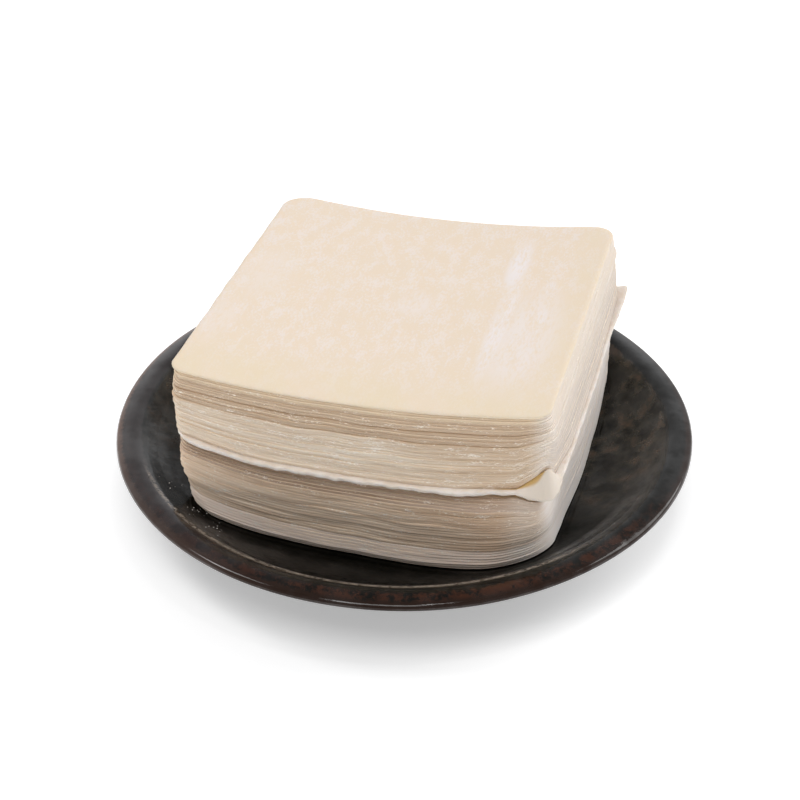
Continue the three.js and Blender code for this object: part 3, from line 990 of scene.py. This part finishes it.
def grain_mesh():
    """Vertices and faces of all the specks, each a flat lump of two rings between two poles."""
    random = np.random.default_rng(GRAIN_SEED)
    vertices, faces = [], []
    turn = np.linspace(0, 2 * math.pi, GRAIN_TURNS, endpoint=False)
    lump = tube_faces(len(GRAIN_RINGS), GRAIN_TURNS)
    for middle, spread, count in GRAIN_PLACES:
        for x, y in random.normal(middle, spread, (count, 2)):
            size = random.uniform(*GRAIN_SIZES)
            base = dish_height(np.hypot(x, y)) + rim_lift(np.hypot(x, y), math.atan2(y, x))
            faces.extend([corner + len(vertices) for corner in face] for face in lump)
            for level in GRAIN_RINGS:
                reach = size * random.uniform(*GRAIN_SPREAD, GRAIN_TURNS)
                height = np.full(GRAIN_TURNS, base + size * GRAIN_FLATNESS * (1 + level))
                vertices.extend(zip(x + reach * np.cos(turn), y + reach * np.sin(turn), height))
            vertices.extend([(x, y, base), (x, y, base + 2 * size * GRAIN_FLATNESS)])
    return vertices, faces


def plain_material(name, colour, roughness):
    """A material of one colour and roughness, with its shader."""
    material, _, shader = new_material(name)
    shader.inputs["Base Color"].default_value = colour
    shader.inputs["Roughness"].default_value = roughness
    return material, shader


flour_material = plain_material("loose_flour", FLOUR_GREY, FLOUR_ROUGHNESS)[0]
mesh_piece("loose_flour", *grain_mesh(), flour_material, "dough")


# Floor, light and camera: a plain white table top, lit a little from below, in a pale studio that is
# brightest at the back, with soft lights on all sides. The eye is under half a metre off and looks down
# on the front.
FLOOR_HALF = 3.0
TABLE_WHITE = (0.95, 0.95, 0.95, 1)
TABLE_ROUGHNESS = 0.9
TABLE_GLOW = 0.36
floor_mesh = bpy.data.meshes.new("floor")
floor_corners = [(FLOOR_HALF * x, FLOOR_HALF * y, 0) for x, y in ((-1, -1), (1, -1), (1, 1), (-1, 1))]
floor_mesh.from_pydata(floor_corners, [], [(0, 1, 2, 3)])
floor = bpy.data.objects.new("floor", floor_mesh)
bpy.context.scene.collection.objects.link(floor)
floor_material, floor_shader = plain_material("white_table", TABLE_WHITE, TABLE_ROUGHNESS)
floor_shader.inputs["Emission Color"].default_value = (1, 1, 1, 1)
floor_shader.inputs["Emission Strength"].default_value = TABLE_GLOW
floor_mesh.materials.append(floor_material)

# Square lights as (name, place, size, watts), all aimed at one point, in metres.
STAGE_AIM = Vector((0, 0, 0.03))
LIGHTS = [("key_light", (0.70, 0.42, 0.62), 0.6, 3.7), ("left_light", (-0.55, -0.10, 0.85), 0.25, 1.4),
          ("over_light", (0.18, -0.16, 1.0), 0.08, 0.4), ("front_light", (0.04, -0.50, 0.92), 0.45, 3.4)]


def aim(thing, place, target):
    """Put a light or camera in the scene at its place, looking at its target."""
    thing.location = place
    thing.rotation_euler = (target - Vector(place)).to_track_quat("-Z", "Y").to_euler()
    bpy.context.scene.collection.objects.link(thing)


for name, place, size, watts in LIGHTS:
    light = bpy.data.lights.new(name, "AREA")
    light.size = size
    light.energy = watts
    aim(bpy.data.objects.new(name, light), place, STAGE_AIM)

STUDIO_WHITE = (0.98, 0.985, 1.0, 1)
BACK_STRENGTH = 0.88
FRONT_STRENGTH = 0.32
ZENITH_SPAN = (0.45, 0.95)
ZENITH_SHARE = 0.4
world = bpy.data.worlds.new("studio")
world.use_nodes = True
sky_tree = world.node_tree
direction = split(sky_tree, add_node(sky_tree, "ShaderNodeTexCoord").outputs["Generated"])
horizon = smooth_step(sky_tree, direction["Y"], -1.0, 1.0, FRONT_STRENGTH, BACK_STRENGTH)
dimmed = smooth_step(sky_tree, direction["Z"], *ZENITH_SPAN, 1.0, ZENITH_SHARE)
background = sky_tree.nodes["Background"]
background.inputs["Color"].default_value = STUDIO_WHITE
sky_tree.links.new(product(sky_tree, horizon, dimmed), background.inputs["Strength"])
bpy.context.scene.world = world
bpy.context.scene.view_settings.view_transform = "Standard"

CAMERA_PLACE = Vector((0.0935, -0.3401, 0.2648))
CAMERA_AIM = Vector((-0.00307, 0.00748, 0.01965))
SENSOR_WIDTH = 36
LENS = 74.9
camera_data = bpy.data.cameras.new("camera")
camera_data.sensor_width = SENSOR_WIDTH
camera_data.lens = LENS
camera = bpy.data.objects.new("camera", camera_data)
aim(camera, CAMERA_PLACE, CAMERA_AIM)
bpy.context.scene.camera = camera
